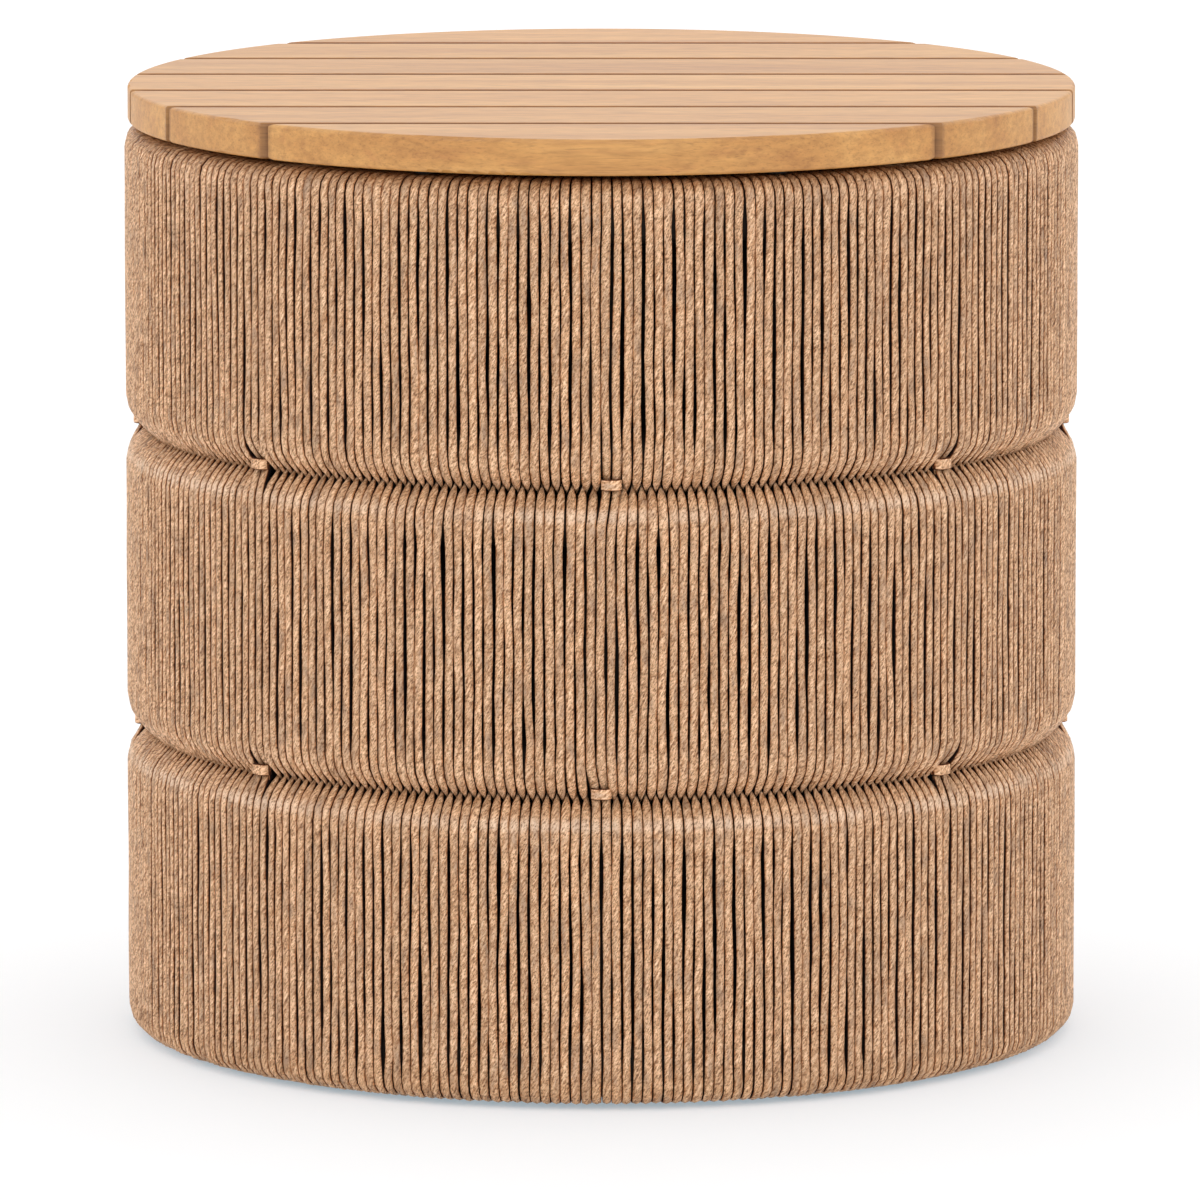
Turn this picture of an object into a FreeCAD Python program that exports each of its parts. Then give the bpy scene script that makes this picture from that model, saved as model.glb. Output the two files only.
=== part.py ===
"""Round storage side table: a cord-wound drum in three tiers with a lift-off slatted lid."""

import FreeCAD
import Part
import Sketcher
import math
import os
import re

doc = FreeCAD.newDocument("storage_side_table")

# Driving dimensions in millimetres and degrees, with counts where a row of pieces repeats
DRIVING = (
    ("drum_diameter", 508, "drum over the cords"),
    ("overall_height", 508, "floor to lid top"),
    ("cord_thickness", 5, "wound cord wall"),
    ("groove_count", 74, "every fourth gap between cords, round each tier"),
    ("groove_width", 3.2, "mouth of such a gap"),
    ("groove_depth", 2.3, "depth of such a gap"),
    ("hoop_tube", 25, "tube of the tier hoops"),
    ("tube_wall", 1.5, "wall of every frame tube"),
    ("ring_corner", 6, "corners of the square tube at rim and base"),
    ("waist_rod", 10, "rod in each waist"),
    ("waist_angle", 45, "slope of the cords at a waist"),
    ("upright_count", 8, "frame uprights, and ties per waist"),
    ("upright_thickness", 3, "flat bar of the uprights"),
    ("upright_width", 20, "flat bar of the uprights"),
    ("fit_gap", 0.3, "between pieces that seat on each other"),
    ("tie_width", 10.6, "tie across two cords"),
    ("tie_height", 5.6, "tie along the cords"),
    ("tie_recess", 4, "tie face behind the drum face"),
    ("base_bar_width", 25, "tube of the base cross"),
    ("base_bar_height", 12, "tube of the base cross"),
    ("bar_gap", 0.6, "cords to the underside of a base bar"),
    ("floor_thickness", 8, "floor panel"),
    ("floor_gap", 1, "floor panel to uprights"),
    ("floor_screw_inset", 60, "floor screws behind the edge of the panel"),
    ("drain_diameter", 12, "drain holes"),
    ("drain_count", 8, "drain holes in one ring"),
    ("drain_ring_diameter", 240, "centres of the drain holes"),
    ("floor_clearance", 1.5, "cords above the floor"),
    ("glide_diameter", 24, "foot glides"),
    ("glide_chamfer", 1.5, "lower edge of a glide"),
    ("glide_inset", 8, "glides inside the inner face of the cords"),
    ("glide_count", 4, "foot glides, one under each arm of the cross"),
    ("stem_diameter", 6, "push-in stem of a glide"),
    ("stem_length", 8, "stem above the glide"),
    ("lid_inset", 2, "lid edge behind the drum face"),
    ("lid_thickness", 19, "slats"),
    ("slat_count", 7, "slats across the lid"),
    ("slat_gap", 4, "groove between slats"),
    ("slat_round", 2, "top and bottom edges of a slat"),
    ("cleat_width", 42, "cleats under the slats"),
    ("cleat_thickness", 20, "cleats under the slats"),
    ("cleat_spacing", 125, "middle cleat to side cleat"),
    ("cleat_play", 3, "cleat ends to the inner wall"),
    ("bumper_diameter", 14, "rubber bumpers"),
    ("bumper_thickness", 2, "rubber bumpers"),
    ("bumper_count", 8, "rubber bumpers"),
    ("screw_shank", 4, "wood screws"),
    ("screw_head", 8, "wood screws"),
    ("screw_bite", 11, "screw length inside the second piece"),
    ("screw_gap", 0.15, "screw to its hole"),
)

sheet = doc.addObject("Spreadsheet::Sheet", "Dimensions")
for row, (alias, number, meaning) in enumerate(DRIVING, start=1):
    sheet.set(f"A{row}", meaning)
    sheet.set(f"B{row}", str(number))
    sheet.setAlias(f"B{row}", alias)
doc.recompute()

# Sizes that follow from the driving ones, as formulas
FORMULAS = {
    "drum_radius": "drum_diameter / 2",
    "rim_tube": "hoop_tube + upright_thickness + fit_gap",
    "cavity": "rim_tube + 2 * fit_gap",
    "loop_half": "cavity / 2 + cord_thickness",
    "bore_bend": "ring_corner + fit_gap",
    "loop_bend": "bore_bend + cord_thickness",
    "inner_radius": "drum_radius - 2 * loop_half",
    "loop_centre_radius": "drum_radius - loop_half",
    "hoop_loop": "hoop_tube / 2 + fit_gap + cord_thickness",
    "hoop_centre_radius": "drum_radius - hoop_loop",
    "hoop_inner_radius": "hoop_centre_radius - hoop_tube / 2",
    "slope": "waist_angle * 1 deg",
    "rod_centre_radius": "hoop_inner_radius + waist_rod / 2",
    "waist_radius": "rod_centre_radius + (cord_thickness + waist_rod / 2 + fit_gap) / cos(slope)",
    "waist_depth": "drum_radius - waist_radius",
    "cord_level": "cord_thickness / cos(slope)",
    "line_drop": "(waist_depth - hoop_loop * (1 - cos(slope))) / tan(slope)",
    "hoop_rise": "hoop_loop * sin(slope) + line_drop",
    "hoop_bore": "hoop_loop - cord_thickness",
    "lid_bottom": "overall_height - lid_thickness",
    "drum_top": "lid_bottom - bumper_thickness - fit_gap",
    "drum_bottom": "floor_clearance",
    "tier_height": "(drum_top - drum_bottom) / 3",
    "lower_waist": "drum_bottom + tier_height",
    "upper_waist": "drum_bottom + 2 * tier_height",
    "rim_level": "drum_top - loop_half",
    "base_level": "drum_bottom + loop_half",
    "upright_face": "hoop_inner_radius - fit_gap",
    "upright_back": "upright_face - upright_thickness",
    "corner_rise": "sqrt(ring_corner ^ 2 - (ring_corner - upright_thickness) ^ 2)",
    "upright_end": "rim_tube / 2 - ring_corner + corner_rise + fit_gap",
    "upright_height": "rim_level - base_level - 2 * upright_end",
    "ring_inner_radius": "loop_centre_radius - rim_tube / 2",
    "bar_half_length": "sqrt(ring_inner_radius ^ 2 - (base_bar_width / 2) ^ 2) - fit_gap",
    "bar_bottom": "base_level - base_bar_height / 2",
    "bar_top": "base_level + base_bar_height / 2",
    "bar_clear": "(base_bar_height / 2 + bar_gap)",
    "glide_radius": "inner_radius - glide_inset - glide_diameter / 2",
    "glide_top": "bar_bottom - fit_gap",
    "floor_radius": "upright_back - floor_gap",
    "floor_screw_radius": "floor_radius - floor_screw_inset",
    "floor_top": "bar_top + floor_thickness",
    "lid_radius": "drum_radius - lid_inset",
    "slat_pitch": "(2 * lid_radius + slat_gap) / slat_count",
    "cleat_radius": "inner_radius - cleat_play",
    "cleat_bottom": "lid_bottom - cleat_thickness",
}


def formula(text):
    """Spell a formula out in cells of the sheet."""
    words = {alias for alias, number, meaning in DRIVING}

    def spell(match):
        word = match.group(0)
        if word in FORMULAS:
            return "(" + formula(FORMULAS[word]) + ")"
        if word in words:
            return "Dimensions." + word
        return word

    return re.sub(r"[a-z_]+(?![a-z_(])", spell, text)


def value(text):
    """Number that a formula gives now."""
    return float(sheet.evalExpression(formula(text)))


def bind(item, **formulas):
    """Tie properties of an object to formulas; a double underscore stands for a dot."""
    for key, text in formulas.items():
        item.setExpression(key.replace("__", "."), formula(text))


def raise_to(item, text):
    """Set the height of an object's placement by a formula."""
    item.setExpression("Placement.Base.z", formula(text))


def new_body(label):
    item = doc.addObject("PartDesign::Body", label)
    item.Label = label
    return item


def origin_item(body, role):
    return [item for item in body.Origin.OriginFeatures if item.Role == role][0]


def new_sketch(body, role):
    sketch = body.newObject("Sketcher::SketchObject", body.Name + "_sketch")
    sketch.AttachmentSupport = (origin_item(body, role), [""])
    sketch.MapMode = "FlatFace"
    return sketch


def hold(sketch, kind, name, text, *places):
    """Add a named size to a sketch and tie it to a formula."""
    index = sketch.addConstraint(Sketcher.Constraint(kind, *places, value(text)))
    sketch.renameConstraint(index, name)
    sketch.setExpression("Constraints." + name, formula(text))


def draw_outline(sketch, corners):
    """Draw a closed outline; a corner is (x, y) after a line or (x, y, radius, turn) after an arc."""
    spots = [FreeCAD.Vector(value(corner[0]), value(corner[1]), 0) for corner in corners]
    ends = []
    for index, corner in enumerate(corners):
        start = spots[index - 1]
        end = spots[index]
        if len(corner) == 2:
            edge = sketch.addGeometry(Part.LineSegment(start, end))
            ends.append((edge, 1, 2))
            continue
        radius = value(corner[2])
        turn = corner[3]
        middle = (start + end) * 0.5
        half = (end - start) * 0.5
        away = FreeCAD.Vector(-half.y, half.x, 0).normalize()
        reach = math.sqrt(max(radius ** 2 - half.Length ** 2, 0))
        centre = middle + away * (turn * reach)
        circle = Part.Circle(centre, FreeCAD.Vector(0, 0, 1), radius)
        first, last = (start, end) if turn > 0 else (end, start)
        angles = [math.atan2(spot.y - centre.y, spot.x - centre.x) for spot in (first, last)]
        edge = sketch.addGeometry(Part.ArcOfCircle(circle, angles[0], angles[1]))
        ends.append((edge, 1, 2) if turn > 0 else (edge, 2, 1))
        hold(sketch, "Radius", f"radius_{index}", corner[2], edge)
    for index, corner in enumerate(corners):
        edge, start, end = ends[index]
        after, after_start, after_end = ends[(index + 1) % len(ends)]
        sketch.addConstraint(Sketcher.Constraint("Coincident", edge, end, after, after_start))
        hold(sketch, "DistanceX", f"across_{index}", corner[0], -1, 1, edge, end)
        hold(sketch, "DistanceY", f"up_{index}", corner[1], -1, 1, edge, end)
    return ends


def draw_circle(sketch, across, up, radius):
    circle = Part.Circle(FreeCAD.Vector(value(across), value(up), 0), FreeCAD.Vector(0, 0, 1), value(radius))
    index = sketch.addGeometry(circle)
    hold(sketch, "Radius", f"radius_{index}", radius, index)
    hold(sketch, "DistanceX", f"across_{index}", across, -1, 1, index, 3)
    hold(sketch, "DistanceY", f"up_{index}", up, -1, 1, index, 3)


def revolve(body, sketch, axis="V_Axis"):
    item = body.newObject("PartDesign::Revolution", body.Name + "_revolution")
    item.Profile = sketch
    item.ReferenceAxis = (sketch, [axis])
    item.Angle = 360
    doc.recompute()
    return item


def pad(body, sketch, length, both_sides=False):
    item = body.newObject("PartDesign::Pad", body.Name + "_pad")
    item.Profile = sketch
    item.SideType = "Symmetric" if both_sides else "One side"
    bind(item, Length=length)
    doc.recompute()
    return item


def polar(body, original, count):
    """Repeat a feature round the upright axis and end the body on it."""
    item = body.newObject("PartDesign::PolarPattern", body.Name + "_pattern")
    item.Originals = [original]
    item.Axis = (origin_item(body, "Z_Axis"), [""])
    item.Angle = 360
    bind(item, Occurrences=count)
    body.Tip = item
    doc.recompute()
    return item


def round_edges(body, feature, radius, wanted):
    """Round the edges of a feature that the test picks."""
    names = [f"Edge{i}" for i, edge in enumerate(feature.Shape.Edges, start=1) if wanted(edge)]
    item = body.newObject("PartDesign::Fillet", body.Name + "_round")
    item.Base = (feature, names)
    bind(item, Radius=radius)
    doc.recompute()
    return item


def new_torus(name, centre_radius, tube_radius, level):
    item = doc.addObject("Part::Torus", name)
    bind(item, Radius1=centre_radius, Radius2=tube_radius)
    raise_to(item, level)
    return item


def cut_away(label, base, tool):
    item = doc.addObject("Part::Cut", label)
    item.Label = label
    item.Base = base
    item.Tool = tool
    return item


def is_upright(edge):
    box = edge.BoundBox
    return box.ZLength > 1e-3 and box.XLength < 1e-6 and box.YLength < 1e-6


def is_level(edge):
    return edge.BoundBox.ZLength < 1e-6


pieces = {}


def keep(label, item):
    """List an object as a piece to hand in."""
    item.Label = label
    pieces[label] = item


# Wound cord walls: outer tiers that wrap the hoops, rim and base, and a plain lining inside
def waist_corners(level, side):
    """Outer face of a tier from the waist to its hoop: side is + above the waist and - below."""
    turn_x = "drum_radius - hoop_loop * (1 - cos(slope))"
    return [("waist_radius", level), (turn_x, f"{level} {side} line_drop")]


def bore_corners(level, side):
    """Inner face of a tier from its hoop to the waist."""
    turn_x = "hoop_centre_radius + hoop_bore * cos(slope)"
    turn_z = f"{level} {side} (hoop_rise - hoop_bore * sin(slope))"
    return [(turn_x, turn_z), ("waist_radius - cord_level", level)]


def loop_tier(label, waist, side, level, tail):
    """Tier that wraps the rim or base ring and ends inside it, a tail past the ring's own level."""
    body = new_body(label)
    sketch = new_sketch(body, "XZ_Plane")
    turn = 1 if side == "+" else -1
    hoop_level = f"{waist} {side} hoop_rise"
    tail_level = f"{level} {side} {tail}"
    face_x = "drum_radius - cord_thickness"
    back_x = "inner_radius + cord_thickness"
    crest = f"{level} {side} loop_half"
    bore_crest = f"{level} {side} cavity / 2"
    bend_level = f"{level} {side} (loop_half - loop_bend)"
    bore_turn, bore_waist = bore_corners(waist, side)
    corners = waist_corners(waist, side)
    corners += [("drum_radius", hoop_level, "hoop_loop", turn), ("drum_radius", bend_level)]
    corners += [("drum_radius - loop_bend", crest, "loop_bend", turn), ("inner_radius + loop_bend", crest)]
    corners += [("inner_radius", bend_level, "loop_bend", turn), ("inner_radius", tail_level)]
    corners += [(back_x, tail_level), (back_x, bend_level)]
    corners += [(f"{back_x} + bore_bend", bore_crest, "bore_bend", -turn)]
    corners += [(f"{face_x} - bore_bend", bore_crest), (face_x, bend_level, "bore_bend", -turn)]
    corners += [(face_x, hoop_level)]
    corners += [bore_turn + ("hoop_bore", -turn), bore_waist]
    draw_outline(sketch, corners)
    revolve(body, sketch)
    return body


def middle_tier(label):
    """Tier between the two waists."""
    body = new_body(label)
    sketch = new_sketch(body, "XZ_Plane")
    face_x = "drum_radius - cord_thickness"
    low_hoop = "lower_waist + hoop_rise"
    high_hoop = "upper_waist - hoop_rise"
    high_waist, high_turn = waist_corners("upper_waist", "-")
    bore_high_turn, bore_high_waist = bore_corners("upper_waist", "-")
    bore_low_turn, bore_low_waist = bore_corners("lower_waist", "+")
    corners = waist_corners("lower_waist", "+")
    corners += [("drum_radius", low_hoop, "hoop_loop", 1), ("drum_radius", high_hoop)]
    corners += [high_turn + ("hoop_loop", 1), high_waist, bore_high_waist, bore_high_turn]
    corners += [(face_x, high_hoop, "hoop_bore", -1), (face_x, low_hoop)]
    corners += [bore_low_turn + ("hoop_bore", -1), bore_low_waist]
    draw_outline(sketch, corners)
    revolve(body, sketch)
    return body


def lining(label):
    """Inner wall that stands on the floor panel and meets the rim loop."""
    body = new_body(label)
    sketch = new_sketch(body, "XZ_Plane")
    near = "inner_radius"
    far = "inner_radius + cord_thickness"
    foot = "floor_top + fit_gap"
    draw_outline(sketch, [(near, foot), (far, foot), (far, "rim_level"), (near, "rim_level")])
    revolve(body, sketch)
    return body


def cord_grooves(label, low, high):
    """Upright gaps between cords on the straight part of a tier's wall."""
    body = new_body(label)
    sketch = new_sketch(body, "XY_Plane")
    mouth = "drum_radius + fit_gap"
    root = "drum_radius - groove_depth"
    draw_outline(sketch, [(root, "0"), (mouth, "-groove_width / 2"), (mouth, "groove_width / 2")])
    block = pad(body, sketch, f"{high} - ({low})")
    polar(body, block, "groove_count")
    raise_to(body, low)
    return body


upper_blank = loop_tier("upper_tier_blank", "upper_waist", "+", "rim_level", "0")
upper_grooves = cord_grooves("upper_grooves", "upper_waist + hoop_rise", "drum_top - loop_bend")
keep("wicker_upper_tier", cut_away("wicker_upper_tier", upper_blank, upper_grooves))
middle_blank = middle_tier("middle_tier_blank")
middle_grooves = cord_grooves("middle_grooves", "lower_waist + hoop_rise", "upper_waist - hoop_rise")
keep("wicker_middle_tier", cut_away("wicker_middle_tier", middle_blank, middle_grooves))
keep("wicker_lining", lining("wicker_lining"))
lower_blank = loop_tier("lower_tier_blank", "lower_waist", "-", "base_level", "bar_clear")
lower_grooves = cord_grooves("lower_grooves", "drum_bottom + loop_bend", "lower_waist - hoop_rise")
keep("wicker_lower_tier", cut_away("wicker_lower_tier", lower_blank, lower_grooves))

# Waist ties: a wedge of cord across two strands, seated on the slope above the waist
for label, waist in (("waist_ties_upper", "upper_waist"), ("waist_ties_lower", "lower_waist")):
    body = new_body(label)
    sketch = new_sketch(body, "XZ_Plane")
    face = "drum_radius - tie_recess"
    seat = "waist_radius + fit_gap / cos(slope)"
    lift = "fit_gap"
    top = "fit_gap + tie_height"
    profile = [
        (f"{seat} + {lift} * tan(slope)", lift),
        (face, lift),
        (face, top),
        (f"min({face} - fit_gap; {seat} + ({top}) * tan(slope))", top),
    ]
    draw_outline(sketch, profile)
    block = pad(body, sketch, "tie_width", both_sides=True)
    polar(body, block, "upright_count")
    raise_to(body, waist)
    keep(label, body)


# Frame rings: square tubes at rim and base, round tubes at the tier hoops, a rod in each waist
def square_ring(label, inset, level):
    """Ring of square section with rounded corners; inset draws its hollow."""
    body = new_body(label)
    sketch = new_sketch(body, "XZ_Plane")
    half = f"(rim_tube / 2 - {inset})"
    flat = "(rim_tube / 2 - ring_corner)"
    bend = f"ring_corner - {inset}"
    near = f"loop_centre_radius - {half}"
    far = f"loop_centre_radius + {half}"
    flat_near = f"loop_centre_radius - {flat}"
    flat_far = f"loop_centre_radius + {flat}"
    outline = [(flat_far, f"-{half}"), (far, f"-{flat}", bend, 1), (far, flat), (flat_far, half, bend, 1)]
    outline += [(flat_near, half), (near, flat, bend, 1)]
    outline += [(near, f"-{flat}"), (flat_near, f"-{half}", bend, 1)]
    draw_outline(sketch, outline)
    revolve(body, sketch)
    raise_to(body, level)
    return body


def tube_ring(label, level):
    outside = new_torus(label + "_outside", "hoop_centre_radius", "hoop_tube / 2", level)
    inside = new_torus(label + "_inside", "hoop_centre_radius", "hoop_tube / 2 - tube_wall", level)
    return cut_away(label, outside, inside)


for label, level in (("frame_rim_ring", "rim_level"), ("frame_base_ring", "base_level")):
    outside = square_ring(label + "_outside", "0", level)
    keep(label, cut_away(label, outside, square_ring(label + "_inside", "tube_wall", level)))
hoop_levels = (
    "upper_waist + hoop_rise",
    "upper_waist - hoop_rise",
    "lower_waist + hoop_rise",
    "lower_waist - hoop_rise",
)
for index, level in enumerate(hoop_levels, start=1):
    label = f"frame_hoop_{index}"
    keep(label, tube_ring(label, level))
for label, waist in (("frame_waist_ring_upper", "upper_waist"), ("frame_waist_ring_lower", "lower_waist")):
    keep(label, new_torus(label, "rod_centre_radius", "waist_rod / 2", waist))

# Uprights: flat bars inside the hoops, from the base ring to the rim ring
count = int(round(value("upright_count")))
for index in range(count):
    label = f"frame_upright_{index + 1}"
    turn = f"({index} * 360 / upright_count - 90) * 1 deg"
    bar = doc.addObject("Part::Box", label)
    angle = value(f"{index} * 360 / upright_count - 90")
    bar.Placement = FreeCAD.Placement(FreeCAD.Vector(), FreeCAD.Rotation(FreeCAD.Vector(0, 0, 1), angle))
    bind(bar, Length="upright_thickness", Width="upright_width", Height="upright_height")
    bind(bar, Placement__Base__x=f"upright_back * cos({turn}) + upright_width / 2 * sin({turn})")
    bind(bar, Placement__Base__y=f"upright_back * sin({turn}) - upright_width / 2 * cos({turn})")
    raise_to(bar, "base_level + upright_end")
    keep(label, bar)

# Base cross: one long tube and two short ones that meet it, coplanar under the floor
def box_tube(label, start_x, start_y, length, width, along_x):
    """Rectangular tube lying on its side, open at both ends."""
    shells = []
    for name, wall in (("_outside", "0"), ("_inside", "tube_wall")):
        box = doc.addObject("Part::Box", label + name)
        shift_x = "0" if along_x else wall
        shift_y = wall if along_x else "0"
        bind(box, Length=f"{length} - 2 * {shift_x}", Width=f"{width} - 2 * {shift_y}")
        bind(box, Height=f"base_bar_height - 2 * {wall}")
        bind(box, Placement__Base__x=f"{start_x} + {shift_x}", Placement__Base__y=f"{start_y} + {shift_y}")
        raise_to(box, f"bar_bottom + {wall}")
        shells.append(box)
    return cut_away(label + "_tube", shells[0], shells[1])


bar_left = "-base_bar_width / 2"
short_length = "bar_half_length - base_bar_width / 2 - fit_gap"
bar_spans = {
    "base_bar_long": ("-bar_half_length", bar_left, "2 * bar_half_length", "base_bar_width", True),
    "base_bar_front": (bar_left, "-bar_half_length", "base_bar_width", short_length, False),
    "base_bar_back": (bar_left, "base_bar_width / 2 + fit_gap", "base_bar_width", short_length, False),
}
bars = {label: box_tube(label, *span) for label, span in bar_spans.items()}

# Foot glides: a pad under each arm of the cross, its stem pushed up through the wall of the tube
glides = new_body("foot_glides")
sketch = new_sketch(glides, "XZ_Plane")
edge_x = "glide_radius + glide_diameter / 2"
stem_x = "glide_radius + stem_diameter / 2"
profile = [
    ("glide_radius", "0"),
    (f"{edge_x} - glide_chamfer", "0"),
    (edge_x, "glide_chamfer"),
    (edge_x, "glide_top"),
    (stem_x, "glide_top"),
    (stem_x, "glide_top + stem_length"),
    ("glide_radius", "glide_top + stem_length"),
]
edges = draw_outline(sketch, profile)
low = FreeCAD.Vector(value("glide_radius"), 0, 0)
high = FreeCAD.Vector(value("glide_radius"), value("glide_top + stem_length"), 0)
axis_line = sketch.addGeometry(Part.LineSegment(low, high), True)
sketch.addConstraint(Sketcher.Constraint("Coincident", axis_line, 1, edges[0][0], edges[0][2]))
sketch.addConstraint(Sketcher.Constraint("Coincident", axis_line, 2, edges[-1][0], edges[-1][2]))
polar(glides, revolve(glides, sketch, "Axis0"), "glide_count")
keep("foot_glides", glides)

stem_holes = new_body("stem_holes")
sketch = new_sketch(stem_holes, "XY_Plane")
draw_circle(sketch, "glide_radius", "0", "stem_diameter / 2 + screw_gap")
polar(stem_holes, pad(stem_holes, sketch, "glide_top + stem_length"), "glide_count")
drilled_bars = {label: cut_away(label + "_drilled", bar, stem_holes) for label, bar in bars.items()}


# Countersunk screws: one revolved shape, placed in rows; holes are the same shape with clearance
def screw_shape(grip, extra):
    """Screw with its flush head at the origin, pointing up; extra widens it into a hole."""
    shank = value("screw_shank / 2") + extra
    head = value("screw_head / 2") + extra
    length = grip + value("screw_bite") + 2 * extra
    rise = head - shank
    spots = [(0, 0), (head, 0), (shank, rise), (shank, length - shank), (0, length)]
    wire = Part.makePolygon([FreeCAD.Vector(x, 0, z) for x, z in spots + spots[:1]])
    return Part.Face(wire).revolve(FreeCAD.Vector(), FreeCAD.Vector(0, 0, 1), 360)


def screw_group(label, spots, level, grip, extra, point_down=False):
    """Group of screws, or of their holes, whose heads lie at one level."""
    shape = screw_shape(grip, extra)
    if point_down:
        shape.rotate(FreeCAD.Vector(), FreeCAD.Vector(1, 0, 0), 180)
    copies = []
    for x, y in spots:
        copy = shape.copy()
        copy.translate(FreeCAD.Vector(x, y, 0))
        copies.append(copy)
    item = doc.addObject("Part::Feature", label)
    item.Shape = Part.makeCompound(copies)
    item.Placement = FreeCAD.Placement(FreeCAD.Vector(0, 0, value(level)), FreeCAD.Rotation())
    return item


# Floor panel: a loose-fitting disc with drain holes, screwed down onto the base cross
floor_blank = new_body("floor_blank")
sketch = new_sketch(floor_blank, "XY_Plane")
draw_circle(sketch, "0", "0", "floor_radius")
pad(floor_blank, sketch, "floor_thickness")
sketch = new_sketch(floor_blank, "XY_Plane")
drain_turn = "180 / drain_count * 1 deg"
drain_x = f"drain_ring_diameter / 2 * cos({drain_turn})"
draw_circle(sketch, drain_x, f"drain_ring_diameter / 2 * sin({drain_turn})", "drain_diameter / 2")
drain = floor_blank.newObject("PartDesign::Pocket", "drain")
drain.Profile = sketch
drain.Type = "ThroughAll"
drain.SideType = "Symmetric"
doc.recompute()
polar(floor_blank, drain, "drain_count")
raise_to(floor_blank, "bar_top")

screw_ring = value("floor_screw_radius")
floor_spots = [(screw_ring, 0), (-screw_ring, 0), (0, screw_ring), (0, -screw_ring)]
floor_grip = value("floor_thickness - screw_bite / 2")
floor_screws = screw_group("floor_screws", floor_spots, "floor_top", floor_grip, 0, True)
floor_holes = screw_group("floor_holes", floor_spots, "floor_top", floor_grip, value("screw_gap"), True)
keep("floor_screws", floor_screws)
keep("floor_panel", cut_away("floor_panel", floor_blank, floor_holes))
for label, bar in drilled_bars.items():
    keep(label, cut_away(label, bar, floor_holes))

# Lid slats: strips of one disc, with rounded top and bottom edges
slat_total = int(round(value("slat_count")))
slat_blanks = []
for index in range(slat_total):
    body = new_body(f"slat_blank_{index + 1}")
    sketch = new_sketch(body, "XY_Plane")
    front = f"{index} * slat_pitch - lid_radius"
    back = f"{front} + slat_pitch - slat_gap"
    front_half = f"sqrt(max(lid_radius ^ 2 - ({front}) ^ 2; 0))"
    back_half = f"sqrt(max(lid_radius ^ 2 - ({back}) ^ 2; 0))"
    if index == 0:
        outline = [
            (f"-{back_half}", back),
            ("0", "-lid_radius", "lid_radius", 1),
            (back_half, back, "lid_radius", 1),
        ]
    elif index == slat_total - 1:
        outline = [
            (front_half, front),
            ("0", "lid_radius", "lid_radius", 1),
            (f"-{front_half}", front, "lid_radius", 1),
        ]
    else:
        outline = [
            (front_half, front),
            (back_half, back, "lid_radius", 1),
            (f"-{back_half}", back),
            (f"-{front_half}", front, "lid_radius", 1),
        ]
    draw_outline(sketch, outline)
    block = pad(body, sketch, "lid_thickness")
    round_edges(body, block, "slat_round", is_level)
    raise_to(body, "lid_bottom")
    slat_blanks.append(body)

# Lid cleats: battens across the slats whose arc ends sit just inside the rim
cleat_blanks = {}
cleat_middles = {
    "lid_cleat_left": "-cleat_spacing",
    "lid_cleat_centre": "0",
    "lid_cleat_right": "cleat_spacing",
}
for label, middle_x in cleat_middles.items():
    body = new_body(label + "_blank")
    sketch = new_sketch(body, "XY_Plane")
    left = f"{middle_x} - cleat_width / 2"
    right = f"{middle_x} + cleat_width / 2"
    left_end = f"sqrt(cleat_radius ^ 2 - ({left}) ^ 2)"
    right_end = f"sqrt(cleat_radius ^ 2 - ({right}) ^ 2)"
    outline = [
        (left, f"-{left_end}"),
        (right, f"-{right_end}", "cleat_radius", 1),
        (right, right_end),
        (left, left_end, "cleat_radius", 1),
    ]
    draw_outline(sketch, outline)
    block = pad(body, sketch, "cleat_thickness")
    round_edges(body, block, "slat_round", is_upright)
    raise_to(body, "cleat_bottom")
    cleat_blanks[label] = body

# Lid screws: two per slat on each cleat where the cleat reaches, heads flush under the cleat
lid_spots = []
for label, middle_x in cleat_middles.items():
    across = value(middle_x)
    widest = abs(across) + value("cleat_width / 2")
    reach = math.sqrt(value("cleat_radius") ** 2 - widest ** 2) - value("screw_head")
    for index in range(slat_total):
        slat_middle = (index - (slat_total - 1) / 2) * value("slat_pitch")
        for along in (slat_middle - value("slat_pitch / 4"), slat_middle + value("slat_pitch / 4")):
            if abs(along) < reach:
                lid_spots.append((across, along))
grip = value("cleat_thickness")
keep("lid_screws", screw_group("lid_screws", lid_spots, "cleat_bottom", grip, 0))
lid_holes = screw_group("lid_holes", lid_spots, "cleat_bottom", grip, value("screw_gap"))
for index, blank in enumerate(slat_blanks, start=1):
    keep(f"lid_slat_{index}", cut_away(f"lid_slat_{index}", blank, lid_holes))
for label, blank in cleat_blanks.items():
    keep(label, cut_away(label, blank, lid_holes))

# Lid bumpers: thin rubber pads under the slats, above the crest of the rim
bumpers = new_body("lid_bumpers")
sketch = new_sketch(bumpers, "XY_Plane")
draw_circle(sketch, "loop_centre_radius", "0", "bumper_diameter / 2")
block = pad(bumpers, sketch, "bumper_thickness")
polar(bumpers, block, "bumper_count")
half_step = value("180 / bumper_count")
bumpers.Placement = FreeCAD.Placement(FreeCAD.Vector(), FreeCAD.Rotation(FreeCAD.Vector(0, 0, 1), half_step))
raise_to(bumpers, "lid_bottom - bumper_thickness")
keep("lid_bumpers", bumpers)

# Recompute, check every object and write the pieces
doc.recompute()
for item in doc.Objects:
    if "Invalid" in item.State or "Error" in item.State:
        raise RuntimeError(f"{item.Label} did not compute: {item.State}")
for label, item in pieces.items():
    if item.Shape.isNull() or not item.Shape.isValid() or item.Shape.Volume <= 0:
        raise RuntimeError(f"{label} has no valid shape")
os.makedirs("parts", exist_ok=True)
for label, item in pieces.items():
    item.Shape.exportStep(f"parts/{label}.step")
    print(label, len(item.Shape.Solids), round(item.Shape.Volume))
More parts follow.
